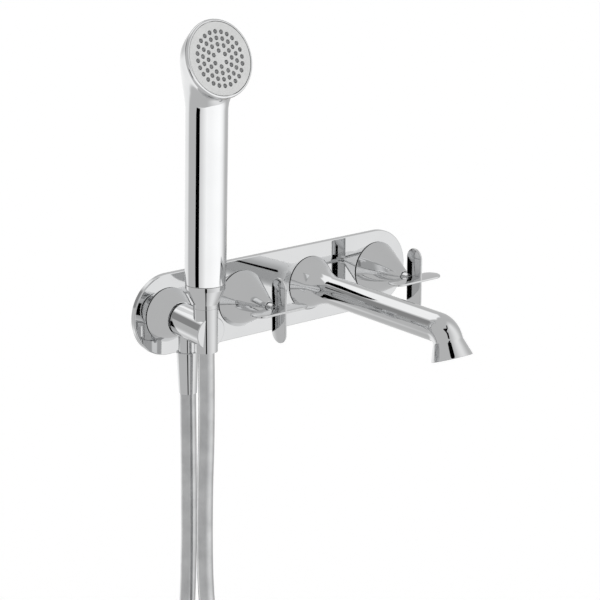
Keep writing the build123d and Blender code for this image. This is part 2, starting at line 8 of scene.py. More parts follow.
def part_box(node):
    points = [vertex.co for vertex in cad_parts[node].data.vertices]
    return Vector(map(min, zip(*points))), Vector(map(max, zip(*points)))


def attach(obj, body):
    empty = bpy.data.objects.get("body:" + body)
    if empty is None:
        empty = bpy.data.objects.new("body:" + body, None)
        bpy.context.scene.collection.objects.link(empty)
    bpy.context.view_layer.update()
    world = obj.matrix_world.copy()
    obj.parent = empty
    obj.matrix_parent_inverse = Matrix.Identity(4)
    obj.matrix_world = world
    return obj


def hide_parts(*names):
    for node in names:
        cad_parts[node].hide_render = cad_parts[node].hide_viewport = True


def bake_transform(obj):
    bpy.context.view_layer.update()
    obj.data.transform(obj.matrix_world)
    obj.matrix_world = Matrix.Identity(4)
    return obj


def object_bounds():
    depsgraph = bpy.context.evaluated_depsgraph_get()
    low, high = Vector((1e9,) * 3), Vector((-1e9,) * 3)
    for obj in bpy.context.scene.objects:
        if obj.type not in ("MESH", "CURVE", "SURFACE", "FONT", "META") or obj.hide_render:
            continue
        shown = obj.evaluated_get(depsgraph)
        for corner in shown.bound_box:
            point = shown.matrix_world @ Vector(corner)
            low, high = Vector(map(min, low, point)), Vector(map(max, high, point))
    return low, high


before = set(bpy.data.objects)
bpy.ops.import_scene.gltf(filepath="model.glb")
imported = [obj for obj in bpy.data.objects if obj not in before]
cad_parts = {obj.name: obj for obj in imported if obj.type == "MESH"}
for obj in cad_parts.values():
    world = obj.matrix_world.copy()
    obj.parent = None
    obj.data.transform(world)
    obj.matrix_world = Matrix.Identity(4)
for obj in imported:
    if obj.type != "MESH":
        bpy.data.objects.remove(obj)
cadLow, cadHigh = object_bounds()
mm = 0.001               # pieces are drawn in millimetres and handed over in metres
print("frame loaded,", len(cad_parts), "nodes")

# camera
cameraPlan = {
    "azimuth": -40.27,
    "elevation": 15.61,
    "distance": 1.9,
    "lens": 125.7,
    "sensor": 36,
    "clipEnd": 60,
    "aim": (0.0317, 0.0, -0.0156),
}


def makeCamera(plan):
    azimuth, elevation = radians(plan["azimuth"]), radians(plan["elevation"])
    back = Vector((sin(azimuth) * cos(elevation), -cos(azimuth) * cos(elevation), sin(elevation)))
    data = bpy.data.cameras.new("camera")
    data.lens = plan["lens"]
    data.sensor_width = plan["sensor"]
    data.clip_end = plan["clipEnd"]
    camera = bpy.data.objects.new("camera", data)
    bpy.context.scene.collection.objects.link(camera)
    camera.location = Vector(plan["aim"]) + back * plan["distance"]
    camera.rotation_euler = (-back).to_track_quat("-Z", "Y").to_euler()
    bpy.context.scene.camera = camera


makeCamera(cameraPlan)
print("camera placed")


# finishes, each from two shared groups of shader nodes
def newNode(tree, kind, place, **settings):
    node = tree.nodes.new(kind)
    node.location = place
    for key, value in settings.items():
        setattr(node, key, value)
    return node


driftPlan = {"detail": 4, "noiseLow": 0.35, "noiseHigh": 0.65}
grainPlan = {"detail": 6}


def makeDriftGroup(plan):
    # slow change over the surface between two values, from soft noise
    group = bpy.data.node_groups.new("surfaceDrift", "ShaderNodeTree")
    for name, default in (("Scale", 40.0), ("Low", 0.2), ("High", 0.3)):
        socket = group.interface.new_socket(name=name, in_out="INPUT", socket_type="NodeSocketFloat")
        socket.default_value = default
    group.interface.new_socket(name="Value", in_out="OUTPUT", socket_type="NodeSocketFloat")
    start = newNode(group, "NodeGroupInput", (-600, 0))
    coords = newNode(group, "ShaderNodeTexCoord", (-600, -200))
    noise = newNode(group, "ShaderNodeTexNoise", (-400, 0))
    noise.inputs["Detail"].default_value = plan["detail"]
    mapped = newNode(group, "ShaderNodeMapRange", (-150, 0))
    mapped.inputs["From Min"].default_value = plan["noiseLow"]
    mapped.inputs["From Max"].default_value = plan["noiseHigh"]
    end = newNode(group, "NodeGroupOutput", (100, 0))
    link = group.links.new
    link(coords.outputs["Object"], noise.inputs["Vector"])
    link(start.outputs["Scale"], noise.inputs["Scale"])
    link(noise.outputs["Fac"], mapped.inputs["Value"])
    link(start.outputs["Low"], mapped.inputs["To Min"])
    link(start.outputs["High"], mapped.inputs["To Max"])
    link(mapped.outputs["Result"], end.inputs["Value"])
    return group


def makeGrainGroup(plan):
    # fine surface height: rounded grains broken up by smaller noise
    group = bpy.data.node_groups.new("fineGrain", "ShaderNodeTree")
    for name, default in (("Scale", 900.0), ("Grain", 0.5)):
        socket = group.interface.new_socket(name=name, in_out="INPUT", socket_type="NodeSocketFloat")
        socket.default_value = default
    group.interface.new_socket(name="Height", in_out="OUTPUT", socket_type="NodeSocketFloat")
    start = newNode(group, "NodeGroupInput", (-700, 0))
    coords = newNode(group, "ShaderNodeTexCoord", (-700, -200))
    cells = newNode(group, "ShaderNodeTexVoronoi", (-450, 100), feature="SMOOTH_F1")
    noise = newNode(group, "ShaderNodeTexNoise", (-450, -150))
    noise.inputs["Detail"].default_value = plan["detail"]
    blend = newNode(group, "ShaderNodeMix", (-200, 0), data_type="FLOAT")
    end = newNode(group, "NodeGroupOutput", (50, 0))
    link = group.links.new
    link(coords.outputs["Object"], cells.inputs["Vector"])
    link(coords.outputs["Object"], noise.inputs["Vector"])
    link(start.outputs["Scale"], cells.inputs["Scale"])
    link(start.outputs["Scale"], noise.inputs["Scale"])
    link(start.outputs["Grain"], blend.inputs["Factor"])
    link(noise.outputs["Fac"], blend.inputs["A"])
    link(cells.outputs["Distance"], blend.inputs["B"])
    link(blend.outputs["Result"], end.inputs["Height"])
    return group


driftGroup = makeDriftGroup(driftPlan)
grainGroup = makeGrainGroup(grainPlan)
bumpHeight = 0.0002

finishPlans = {
    "polished_chrome": {
        "dark": (0.69, 0.695, 0.70), "pale": (0.71, 0.715, 0.72), "patches": 30, "metallic": 1.0,
        "rough": (0.012, 0.035), "roughScale": 25,
    },
    "raw_brass": {
        "dark": (0.50, 0.34, 0.15), "pale": (0.76, 0.58, 0.31), "patches": 90, "metallic": 1.0,
        "rough": (0.30, 0.48), "roughScale": 160, "grainScale": 1500, "grain": 0.6, "bump": 0.25,
    },
    "black_rubber": {
        "dark": (0.018, 0.018, 0.019), "pale": (0.035, 0.035, 0.037), "patches": 120, "metallic": 0.0,
        "rough": (0.55, 0.75), "roughScale": 300, "grainScale": 2600, "grain": 0.3, "bump": 0.2,
    },
    "grey_silicone": {
        "dark": (0.20, 0.205, 0.21), "pale": (0.27, 0.275, 0.28), "patches": 200, "metallic": 0.0,
        "rough": (0.38, 0.52), "roughScale": 400, "grainScale": 3000, "grain": 0.3, "bump": 0.1,
    },
    "satin_grey": {
        "dark": (0.70, 0.705, 0.70), "pale": (0.76, 0.765, 0.76), "patches": 60, "metallic": 0.0,
        "rough": (0.28, 0.36), "roughScale": 120, "grainScale": 3200, "grain": 0.5, "bump": 0.06,
    },
    "white_plastic": {
        "dark": (0.78, 0.78, 0.75), "pale": (0.85, 0.85, 0.83), "patches": 80, "metallic": 0.0,
        "rough": (0.32, 0.42), "roughScale": 200, "grainScale": 2400, "grain": 0.4, "bump": 0.08,
    },
    "hose_silver": {
        "dark": (0.55, 0.555, 0.56), "pale": (0.66, 0.665, 0.67), "patches": 50, "metallic": 1.0,
        "rough": (0.16, 0.24), "roughScale": 90, "grainScale": 1200, "grain": 0.2, "bump": 0.03,
    },
    "stainless": {
        "dark": (0.50, 0.50, 0.51), "pale": (0.62, 0.62, 0.63), "patches": 150, "metallic": 1.0,
        "rough": (0.22, 0.34), "roughScale": 500, "grainScale": 2500, "grain": 0.2, "bump": 0.08,
    },
}


def makeFinish(name, plan):
    material = bpy.data.materials.new(name)
    material.use_nodes = True
    tree = material.node_tree
    link = tree.links.new
    shader = tree.nodes["Principled BSDF"]
    shader.inputs["Metallic"].default_value = plan["metallic"]
    tint = newNode(tree, "ShaderNodeGroup", (-700, 300), node_tree=driftGroup)
    tint.inputs["Scale"].default_value = plan["patches"]
    tint.inputs["Low"].default_value = 0
    tint.inputs["High"].default_value = 1
    colour = newNode(tree, "ShaderNodeMix", (-400, 300), data_type="RGBA")
    colour.inputs["A"].default_value = (*plan["dark"], 1)
    colour.inputs["B"].default_value = (*plan["pale"], 1)
    link(tint.outputs["Value"], colour.inputs["Factor"])
    link(colour.outputs["Result"], shader.inputs["Base Color"])
    gloss = newNode(tree, "ShaderNodeGroup", (-700, 0), node_tree=driftGroup)
    gloss.inputs["Scale"].default_value = plan["roughScale"]
    gloss.inputs["Low"].default_value = plan["rough"][0]
    gloss.inputs["High"].default_value = plan["rough"][1]
    link(gloss.outputs["Value"], shader.inputs["Roughness"])
    if "bump" in plan:
        grain = newNode(tree, "ShaderNodeGroup", (-700, -300), node_tree=grainGroup)
        grain.inputs["Scale"].default_value = plan["grainScale"]
        grain.inputs["Grain"].default_value = plan["grain"]
        bump = newNode(tree, "ShaderNodeBump", (-400, -300))
        bump.inputs["Strength"].default_value = plan["bump"]
        bump.inputs["Distance"].default_value = bumpHeight
        link(grain.outputs["Height"], bump.inputs["Height"])
        link(bump.outputs["Normal"], shader.inputs["Normal"])
    return material


finishes = {name: makeFinish(name, plan) for name, plan in finishPlans.items()}
print("finishes made")


# tools that the pieces below share
def nodeBox(name):
    # lowest and highest corner of a CAD node, in millimetres
    low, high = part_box(name)
    return low / mm, high / mm


def middleX(name):
    low, high = nodeBox(name)
    return (low.x + high.x) / 2


def outOfWall(x, y=0.0, turn=0.0):
    # places a piece drawn along +Z so that it points out of the wall, turned down by an angle
    return Matrix.Translation((x, y, 0)) @ Matrix.Rotation(pi / 2 + turn, 4, "X")


def openLoops(bm):
    return [edge for edge in bm.edges if edge.is_boundary]


def turned(profile, place=Matrix(), closed=False, steps=160):
    # spins (along, radius) points about the Z axis and caps what is left open
    bm = bmesh.new()
    points = [bm.verts.new((radius, 0, along)) for along, radius in profile]
    pairs = list(zip(points, points[1:]))
    if closed:
        pairs.append((points[-1], points[0]))
    for pair in pairs:
        bm.edges.new(pair)
    bmesh.ops.spin(bm, geom=bm.verts[:] + bm.edges[:], cent=(0, 0, 0), axis=(0, 0, 1), angle=2 * pi,
                   steps=steps, use_merge=True)
    bmesh.ops.remove_doubles(bm, verts=bm.verts, dist=1e-4)
    bmesh.ops.holes_fill(bm, edges=openLoops(bm), sides=0)
    bmesh.ops.transform(bm, matrix=place, verts=bm.verts)
    bmesh.ops.recalc_face_normals(bm, faces=bm.faces)
    return bm


def rounded(bm, edges, width, segments):
    bmesh.ops.bevel(bm, geom=edges, offset=width, offset_type="OFFSET", segments=segments, profile=0.5,
                    affect="EDGES", clamp_overlap=True, material=-1)
    return bm


def softened(bm, width, segments=3, angle=24):
    # rounds every edge that is sharper than the angle
    edges = [edge for edge in bm.edges if edge.is_manifold and edge.calc_face_angle() > radians(angle)]
    return rounded(bm, edges, width, segments)


def cutAtDepth(bm, y):
    # keeps what stands in front of a plane parallel to the wall, closed again there
    bmesh.ops.bisect_plane(bm, geom=bm.verts[:] + bm.edges[:] + bm.faces[:], plane_co=(0, y, 0),
                           plane_no=(0, 1, 0), clear_outer=True)
    bmesh.ops.holes_fill(bm, edges=openLoops(bm), sides=0)
    bmesh.ops.recalc_face_normals(bm, faces=bm.faces)
    return bm


def ringPlace(centre, direction, radius, across=(1, 0, 0)):
    # matrix that lays the unit circle round a point, facing a direction
    along = Vector(direction).normalized()
    side = Vector(across)
    side = (side - along * side.dot(along)).normalized()
    columns = (side * radius, along.cross(side) * radius, along * radius)
    return Matrix.Translation(centre) @ Matrix(columns).transposed().to_4x4()


def ringLoft(places, segments=128):
    # a circle extruded from ring to ring, closed at both ends
    bm = bmesh.new()
    bmesh.ops.create_circle(bm, cap_ends=False, radius=1, segments=segments)
    bmesh.ops.transform(bm, matrix=places[0], verts=bm.verts)
    edges = bm.edges[:]
    for before, after in zip(places, places[1:]):
        grown = bmesh.ops.extrude_edge_only(bm, edges=edges)["geom"]
        verts = {item for item in grown if isinstance(item, bmesh.types.BMVert)}
        edges = [item for item in grown if isinstance(item, bmesh.types.BMEdge)
                 and item.verts[0] in verts and item.verts[1] in verts]
        bmesh.ops.transform(bm, matrix=after @ before.inverted(), verts=list(verts))
    bmesh.ops.holes_fill(bm, edges=openLoops(bm), sides=0)
    bmesh.ops.recalc_face_normals(bm, faces=bm.faces)
    return bm


def pulledApart(bm, reach):
    # draws the two halves of a round shape apart along X, so that it becomes a slot
    for side in (-1, 1):
        half = [vert for vert in bm.verts if vert.co.x * side > 0]
        bmesh.ops.translate(bm, vec=(side * reach, 0, 0), verts=half)
    return bm


def handOver(bm, name, body, finish, replaced, unit=mm, sharp=32):
    bmesh.ops.scale(bm, vec=(unit, unit, unit), verts=bm.verts)
    mesh = bpy.data.meshes.new(name)
    bm.to_mesh(mesh)
    bm.free()
    piece = bpy.data.objects.new(name, mesh)
    bpy.context.scene.collection.objects.link(piece)
    mesh.shade_smooth()
    mesh.set_sharp_from_angle(angle=radians(sharp))
    mesh.materials.append(finishes[finish])
    weighted = piece.modifiers.new("even normals", "WEIGHTED_NORMAL")
    weighted.keep_sharp = True
    if body:
        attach(piece, body)
    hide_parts(*replaced)
    return piece


def joinShapes(whole, others, operation):
    # boolean between drawn shapes, given back as one drawn shape
    items = []
    for shape in (whole, *others):
        mesh = bpy.data.meshes.new("shape")
        shape.to_mesh(mesh)
        shape.free()
        item = bpy.data.objects.new("shape", mesh)
        bpy.context.scene.collection.objects.link(item)
        items.append(item)
    for other in items[1:]:
        step = items[0].modifiers.new("join", "BOOLEAN")
        step.operation = operation
        step.solver = "EXACT"
        step.object = other
    graph = bpy.context.evaluated_depsgraph_get()
    result = bmesh.new()
    result.from_mesh(items[0].evaluated_get(graph).to_mesh())
    for item in items:
        mesh = item.data
        bpy.data.objects.remove(item)
        bpy.data.meshes.remove(mesh)
    return result


# hose
hosePlan = {
    "diameter": 0.014,
    "length": 1.20,
    "around": 40,
    "stepsPerSpan": 20,
    "route": [
        (-0.120, -0.0304, -0.064), (-0.120, -0.0304, -0.152), (-0.122, -0.0292, -0.250),
        (-0.131, -0.0295, -0.340), (-0.163, -0.031, -0.415), (-0.203, -0.033, -0.474),
        (-0.196, -0.0355, -0.536), (-0.150, -0.039, -0.578), (-0.088, -0.043, -0.579),
        (-0.041, -0.0465, -0.538), (-0.033, -0.049, -0.477), (-0.070, -0.051, -0.414),
        (-0.107, -0.052, -0.341), (-0.121, -0.0525, -0.252), (-0.122, -0.054, -0.160),
        (-0.120, -0.05685, -0.082), (-0.120, -0.05685, -0.0182)],
}


def smoothRoute(points, steps):
    curve = bpy.data.curves.new("route", "CURVE")
    curve.dimensions = "3D"
    spline = curve.splines.new("NURBS")
    spline.points.add(len(points) - 1)
    for place, point in zip(spline.points, points):
        place.co = (*point, 1)
    spline.order_u = 3
    spline.use_endpoint_u = True
    spline.resolution_u = steps
    holder = bpy.data.objects.new("route", curve)
    line = [vert.co.copy() for vert in bpy.data.meshes.new_from_object(holder).vertices]
    bpy.data.objects.remove(holder)
    return line


def makeHose(plan):
    line = smoothRoute(plan["route"], plan["stepsPerSpan"])
    radius = plan["diameter"] / 2
    places = []
    across = Vector((1, 0, 0))
    for index, point in enumerate(line):
        ahead = line[min(index + 1, len(line) - 1)] - line[max(index - 1, 0)]
        along = ahead.normalized()
        across = (across - along * across.dot(along)).normalized()
        places.append(ringPlace(point, along, radius, across))
    bm = ringLoft(places, plan["around"])
    piece = handOver(bm, "hoseSleeve", None, "hose_silver", ["shower_hose"], unit=1)
    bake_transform(piece)
    return piece, line


hose, hoseLine = makeHose(hosePlan)
print("hose made")

# cover plate
frontY = nodeBox("wall_plate")[0].y
platePlan = {
    "edge": 1.0,
    "edgeSegments": 6,
    "steps": 202,
    "gasketGap": 3.0,      # from the plate's rim to the gasket's groove
    "gasketWidth": 7.0,
}


def makePlate(plan):
    low, high = nodeBox("wall_plate")
    radius = (high.z - low.z) / 2
    thick = high.y - low.y
    groove = nodeBox("plate_gasket")[1].y - nodeBox("plate_gasket")[0].y
    outer = radius - plan["gasketGap"]
    inner = outer - plan["gasketWidth"]
    profile = [(0, inner), (groove, inner), (groove, outer), (0, outer), (0, radius), (thick, radius)]
    bm = turned(profile, steps=plan["steps"])
    rim = [edge for edge in bm.edges if all(abs(v.co.z - thick) < 1e-3 for v in edge.verts)]
    rounded(bm, rim, plan["edge"], plan["edgeSegments"])
    pulledApart(bm, (high.x - low.x) / 2 - radius)
    bmesh.ops.transform(bm, matrix=outOfWall(0, high.y), verts=bm.verts)
    handOver(bm, "coverPlate", "root", "polished_chrome", ["wall_plate"])


makePlate(platePlan)

# fixed cones
conePlan = {
    "wall": 1.8, "lip": 0.35,
    "armGap": 0.3,                        # between the outlet cone's tip and the arm
    "handleTip": 5.4, "boreDepth": 9.4, "hubGap": 0.3, "tipShoulder": 4.0, "footExtra": 0.7,
    "neckWall": 2.8,
}
hubRadius = (nodeBox("left_handle_hub")[1].x - nodeBox("left_handle_hub")[0].x) / 2


def makeOutletCone(plan):
    low, high = nodeBox("outlet_cone")
    base = (high.x - low.x) / 2
    tip = nodeBox("holder_arm")[1].x - middleX("outlet_cone") + plan["armGap"]
    wall = plan["wall"]
    profile = [(-high.y, base), (-low.y, tip), (-low.y, tip - wall), (-high.y, base - wall)]
    bm = softened(turned(profile, outOfWall(middleX("outlet_cone")), closed=True), plan["lip"])
    handOver(bm, "outletCone", "root", "polished_chrome", ["outlet_cone"])


def makeHandleCone(side, plan):
    name = side + "_handle_cone"
    low, high = nodeBox(name)
    base = (high.x - low.x) / 2
    bore = hubRadius + plan["hubGap"]
    shoulder = -low.y - plan["boreDepth"]
    profile = [(-high.y, base), (-low.y, plan["handleTip"]), (-low.y, bore), (shoulder, bore),
               (shoulder, hubRadius + plan["tipShoulder"]),
               (-high.y, base - plan["wall"] - plan["footExtra"])]
    bm = softened(turned(profile, outOfWall(middleX(name)), closed=True), plan["lip"])
    handOver(bm, side + "HandleCone", "root", "polished_chrome", [name])


def makeNeckRing(plan):
    low, high = nodeBox("outlet_neck_ring")
    radius = (high.x - low.x) / 2
    bore = radius - plan["neckWall"]
    profile = [(-high.y, radius), (-low.y, radius), (-low.y, bore), (-high.y, bore)]
    bm = turned(profile, outOfWall(middleX("outlet_neck_ring")), closed=True)
    handOver(bm, "neckRing", "root", "polished_chrome", ["outlet_neck_ring"])


makeOutletCone(conePlan)
makeHandleCone("left", conePlan)
makeHandleCone("right", conePlan)
makeNeckRing(conePlan)
print("plate and cones made")

# holder: the arm with its tube, then the pieces on its two upright axes
holderPlan = {
    "armRadius": 14.3, "armStart": -25.4, "armEnd": -64.0, "armDroop": 5.0, "armEdge": 0.8,
    "armLead": 3, "armSegments": 4,       # drawn this far behind its start, then cut there
    "tubeTop": 10.6, "tubeLow": 9.8, "boreTop": 9.1, "boreLow": 8.1, "boreLead": 1, "tubeEdge": 0.25,
    "steps": 192, "boreSteps": 128,
}
holderX = middleX("holder_cup")
tubeY = (nodeBox("holder_cup")[0].y + nodeBox("holder_cup")[1].y) / 2
tubeLow, tubeTop = nodeBox("holder_arm")[0].z, nodeBox("holder_cup")[0].z
cupTop = nodeBox("holder_cup")[1].z
tubePlace = Matrix.Translation((holderX, tubeY, 0))


def makeHolderArm(plan):
    droop = radians(plan["armDroop"])
    length = (plan["armStart"] - plan["armEnd"]) / cos(droop)
    place = outOfWall(holderX, plan["armStart"], droop)
    radius, steps = plan["armRadius"], plan["steps"]
    arm = turned([(-plan["armLead"], radius), (length, radius)], place, steps=steps)
    cutAtDepth(arm, plan["armStart"])
    softened(arm, plan["armEdge"], segments=plan["armSegments"])
    tube = turned([(tubeLow, plan["tubeLow"]), (tubeTop, plan["tubeTop"])], tubePlace, steps=steps)
    softened(tube, plan["tubeEdge"])
    lead = plan["boreLead"]
    bore = turned([(tubeLow - lead, plan["boreLow"]), (tubeTop + lead, plan["boreTop"])], tubePlace,
                  steps=plan["boreSteps"])
    whole = joinShapes(arm, [tube], "UNION")
    whole = joinShapes(whole, [bore], "DIFFERENCE")
    handOver(whole, "holderArm", "root", "polished_chrome", ["holder_arm"])


makeHolderArm(holderPlan)

# round pieces on the two upright axes
stubPlan = {"radius": 7.5, "bore": 5.2, "edge": 0.4}
nutPlan = {"top": 9.4, "foot": 7.8, "sleeveBore": 7.0, "sleeveDepth": 18, "threadBore": 7.55, "edge": 0.5}
endNutPlan = {"top": 8.8, "foot": 7.7, "sleeveBore": 7.0, "sleeveDepth": 18, "threadBore": 7.5, "edge": 0.4}
connectorPlan = {
    "thread": 7.45, "nutGap": 0.2, "collarFoot": 8.4, "collarTop": 8.6,
    "plug": 14.2, "plugBore": 12.0, "waterway": 4.0, "edge": 0.25,
}
cupPlan = {
    "neckZ": 21.2, "flareZ": 34.5, "neck": 10.6, "neckBore": 9.3, "mouth": 17.1, "mouthBore": 15.7,
    "edge": 0.25,
}
linerPlan = {"lift": 2, "foot": 10.26, "footBore": 9.16, "top": 15.68, "topBore": 14.6, "edge": 0.2}

stubY = (nodeBox("hose_outlet_stub")[0].y + nodeBox("hose_outlet_stub")[1].y) / 2
stubPlace = Matrix.Translation((holderX, stubY, 0))
handsetLow = nodeBox("handset_shell")[0].z
linerFoot = cupPlan["neckZ"] + linerPlan["lift"]


def levels(name):
    # lowest and highest z of a CAD node
    low, high = nodeBox(name)
    return low.z, high.z


# sections: (z, radius) corners in order round the wall
def tubeSection(name, plan):
    low, top = levels(name)
    return [(top, plan["radius"]), (low, plan["radius"]), (low, plan["bore"]), (top, plan["bore"])]


def nutSection(name, plan):
    low, top = levels(name)
    seat = low + plan["sleeveDepth"]
    return [(top, plan["top"]), (low, plan["foot"]), (low, plan["sleeveBore"]), (seat, plan["sleeveBore"]),
            (seat, plan["threadBore"]), (top, plan["threadBore"])]


def connectorSection(plan):
    low, top = levels("handset_connector")
    collar = levels("handset_hose_nut")[1] + plan["nutGap"]
    return [(low, plan["thread"]), (collar, plan["thread"]), (collar, plan["collarFoot"]),
            (linerFoot, plan["collarTop"]), (cupPlan["flareZ"], plan["plug"]), (handsetLow, plan["plug"]),
            (handsetLow, plan["plugBore"]), (top, plan["plugBore"]), (top, plan["waterway"]),
            (low, plan["waterway"])]


def cupSection(plan):
    neck, flare = plan["neckZ"], plan["flareZ"]
    return [(tubeTop, plan["neck"]), (neck, plan["neck"]), (flare, plan["mouth"]), (cupTop, plan["mouth"]),
            (cupTop, plan["mouthBore"]), (flare, plan["mouthBore"]), (neck, plan["neckBore"]),
            (tubeTop, holderPlan["boreTop"])]


def linerSection(plan):
    flare = cupPlan["flareZ"]
    return [(linerFoot, plan["foot"]), (flare, plan["top"]), (cupTop, plan["top"]),
            (cupTop, plan["topBore"]), (flare, plan["topBore"]), (linerFoot, plan["footBore"])]


uprightPlans = [
    {"name": "outletStub", "body": "root", "node": "hose_outlet_stub", "finish": "polished_chrome",
     "place": stubPlace, "edge": stubPlan["edge"], "section": tubeSection("hose_outlet_stub", stubPlan)},
    {"name": "outletHoseNut", "body": "root", "node": "outlet_hose_nut", "finish": "polished_chrome",
     "place": stubPlace, "edge": nutPlan["edge"], "section": nutSection("outlet_hose_nut", nutPlan)},
    {"name": "handsetHoseNut", "body": "handset", "node": "handset_hose_nut", "finish": "polished_chrome",
     "place": tubePlace, "edge": endNutPlan["edge"], "section": nutSection("handset_hose_nut", endNutPlan)},
    {"name": "handsetConnector", "body": "handset", "node": "handset_connector",
     "finish": "polished_chrome", "place": tubePlace, "edge": connectorPlan["edge"],
     "section": connectorSection(connectorPlan)},
    {"name": "holderCup", "body": "root", "node": "holder_cup", "finish": "polished_chrome",
     "place": tubePlace, "edge": cupPlan["edge"], "section": cupSection(cupPlan)},
    {"name": "cupLiner", "body": "root", "node": "cup_liner", "finish": "white_plastic",
     "place": tubePlace, "edge": linerPlan["edge"], "section": linerSection(linerPlan)},
]


def makeUpright(plan):
    bm = turned(plan["section"], plan["place"], closed=True)
    handOver(softened(bm, plan["edge"]), plan["name"], plan["body"], plan["finish"], [plan["node"]])


for plan in uprightPlans:
    makeUpright(plan)
print("holder made")

# hand shower shell
shellPlan = {
    "footRadius": 17.1, "footLip": 0.35, "gripRadius": 17.5, "gripBore": 12.0, "gripFull": 26.0,
    "plugDepth": 14, "growSteps": 8, "gripSteps": 12,
    "lean": 4.8, "headFoot": 185.0, "headLead": 6,
    "faceY": -80.4, "faceZ": 230.1, "faceTilt": 72.0,
    "faceRadius": 30.6, "rimRadius": 32.8, "rimBack": 2.9, "rimLip": 0.5,
    "pocket": 6.2, "pocketLip": 0.12,
    "backLine": [(17.5, 185.0), (17.2, 217.0), (10.0, 245.0)],
    "frontLine": [(-17.5, 185.0), (-18.1, 192.5), (-20.9, 197.5)],
    "backLead": 30, "frontLead": 7,       # how far below the head its two lines come from
    "backEase": 0.4, "frontEase": 0.6,    # how far past the rim they run on
    "headSteps": 14, "around": 144,
}


def smoothPoint(line, t):
    # point at 0 to 1 between the middle two of four points, on a curve through them
    a, b, c, d = line
    return 0.5 * (2 * b + (c - a) * t + (2 * a - 5 * b + 4 * c - d) * t * t
                  + (3 * b - a - 3 * c + d) * t ** 3)


def makeShell(plan):
    foot, full = handsetLow, handsetLow + plan["gripFull"]
    leanRate = plan["lean"] / (plan["headFoot"] - foot)
    tilt = radians(plan["faceTilt"])
    normal = Vector((0, -sin(tilt), cos(tilt)))
    slant = Vector((0, cos(tilt), sin(tilt)))
    face = Vector((holderX, plan["faceY"], plan["faceZ"]))
    up = Vector((0, 0, 1))

    def gripRing(z, radius):
        return ringPlace((holderX, tubeY - (z - foot) * leanRate, z), up, radius)

    lip = plan["footLip"]
    inside = plan["footRadius"] - lip
    places = [gripRing(foot + plan["plugDepth"], plan["gripBore"]), gripRing(foot, plan["gripBore"]),
              gripRing(foot, inside)]
    for turn in (30, 60, 90):
        corner = radians(turn)
        places.append(gripRing(foot + lip * (1 - cos(corner)), inside + lip * sin(corner)))
    for step in range(1, plan["growSteps"] + 1):
        rise = step / plan["growSteps"]
        grow = (1 - (1 - rise) ** 2) * (plan["gripRadius"] - plan["footRadius"])
        places.append(gripRing(foot + (full - foot) * rise, plan["footRadius"] + grow))
    gripLong = plan["headFoot"] - plan["headLead"] - full
    for step in range(1, plan["gripSteps"] + 1):
        places.append(gripRing(full + gripLong * step / plan["gripSteps"], plan["gripRadius"]))
    # head: round sections between a back line and a front line
    gripY = tubeY - plan["lean"]
    rim = face - normal * plan["rimBack"]
    backs = [Vector((holderX, gripY + y, z)) for y, z in plan["backLine"]]
    fronts = [Vector((holderX, gripY + y, z)) for y, z in plan["frontLine"]]
    backs = [backs[0] - up * plan["backLead"]] + backs + [rim + slant * plan["rimRadius"]]
    fronts = [fronts[0] - up * plan["frontLead"]] + fronts + [rim - slant * plan["rimRadius"]]
    backs.append(backs[-1] + (backs[-1] - backs[-2]) * plan["backEase"])
    fronts.append(fronts[-1] + (fronts[-1] - fronts[-2]) * plan["frontEase"])
    for span in range(3):
        for step in range(plan["headSteps"]):
            t = step / plan["headSteps"]
            back = smoothPoint(backs[span:span + 4], t)
            front = smoothPoint(fronts[span:span + 4], t)
            across = (back - front).normalized()
            facing = Vector((1, 0, 0)).cross(across)
            places.append(ringPlace((back + front) / 2, facing, (back - front).length / 2))
    # rim rolled round to the face, then the pocket
    faceEdge = plan["faceRadius"] + plan["rimLip"]
    for turn in range(0, 91, 10):
        roll = radians(turn)
        depth = plan["rimBack"] * (1 - sin(roll))
        radius = faceEdge + (plan["rimRadius"] - faceEdge) * cos(roll)
        places.append(ringPlace(face - normal * depth, normal, radius))
    places.append(ringPlace(face, normal, plan["faceRadius"] + plan["pocketLip"]))
    places.append(ringPlace(face - normal * plan["pocketLip"], normal, plan["faceRadius"]))
    places.append(ringPlace(face - normal * plan["pocket"], normal, plan["faceRadius"]))
    bm = ringLoft(places, plan["around"])
    handOver(bm, "handsetShell", "handset", "polished_chrome", ["handset_shell"], sharp=40)


makeShell(shellPlan)
print("hand shower made")

# cross handles
handlePlan = {
    "span": 58.5, "rimThick": 2.0, "crown": 0.55, "edge": 0.9, "edgeSegments": 6, "steps": 98,
    "crownRings": (0.1, 0.3, 0.5, 0.7, 0.85, 1),     # shares of the blade's radius
    "hubStart": 36.0, "hubEnd": 50.0, "hubEdge": 0.3, "hubSteps": 96,
}


def makeBlade(side, direction, plan):
    node = side + "_" + direction + "_blade"
    low, high = nodeBox(node)
    centre = (low + high) / 2
    radius = (high.y - low.y) / 2
    half = plan["rimThick"] / 2
    broad = [(half + plan["crown"] * (1 - share * share), radius * share) for share in plan["crownRings"]]
    bm = turned([(-along, size) for along, size in broad] + broad[::-1], steps=plan["steps"])
    softened(bm, plan["edge"], segments=plan["edgeSegments"])
    pulledApart(bm, plan["span"] / 2 - radius)
    place = Matrix.Translation(centre)
    if direction == "vertical":
        place = place @ Matrix.Rotation(pi / 2, 4, "Y")
    bmesh.ops.transform(bm, matrix=place, verts=bm.verts)
    handOver(bm, side + direction.capitalize() + "Blade", side + "_handle", "polished_chrome", [node])


def makeHub(side, plan):
    node = side + "_handle_hub"
    bm = turned([(plan["hubStart"], hubRadius), (plan["hubEnd"], hubRadius)], outOfWall(middleX(node)),
                steps=plan["hubSteps"])
    handOver(softened(bm, plan["hubEdge"]), side + "HandleHub", side + "_handle", "polished_chrome", [node])


for side in ("left", "right"):
    makeHub(side, handlePlan)
    for direction in ("vertical", "horizontal"):
        makeBlade(side, direction, handlePlan)
print("handles made")

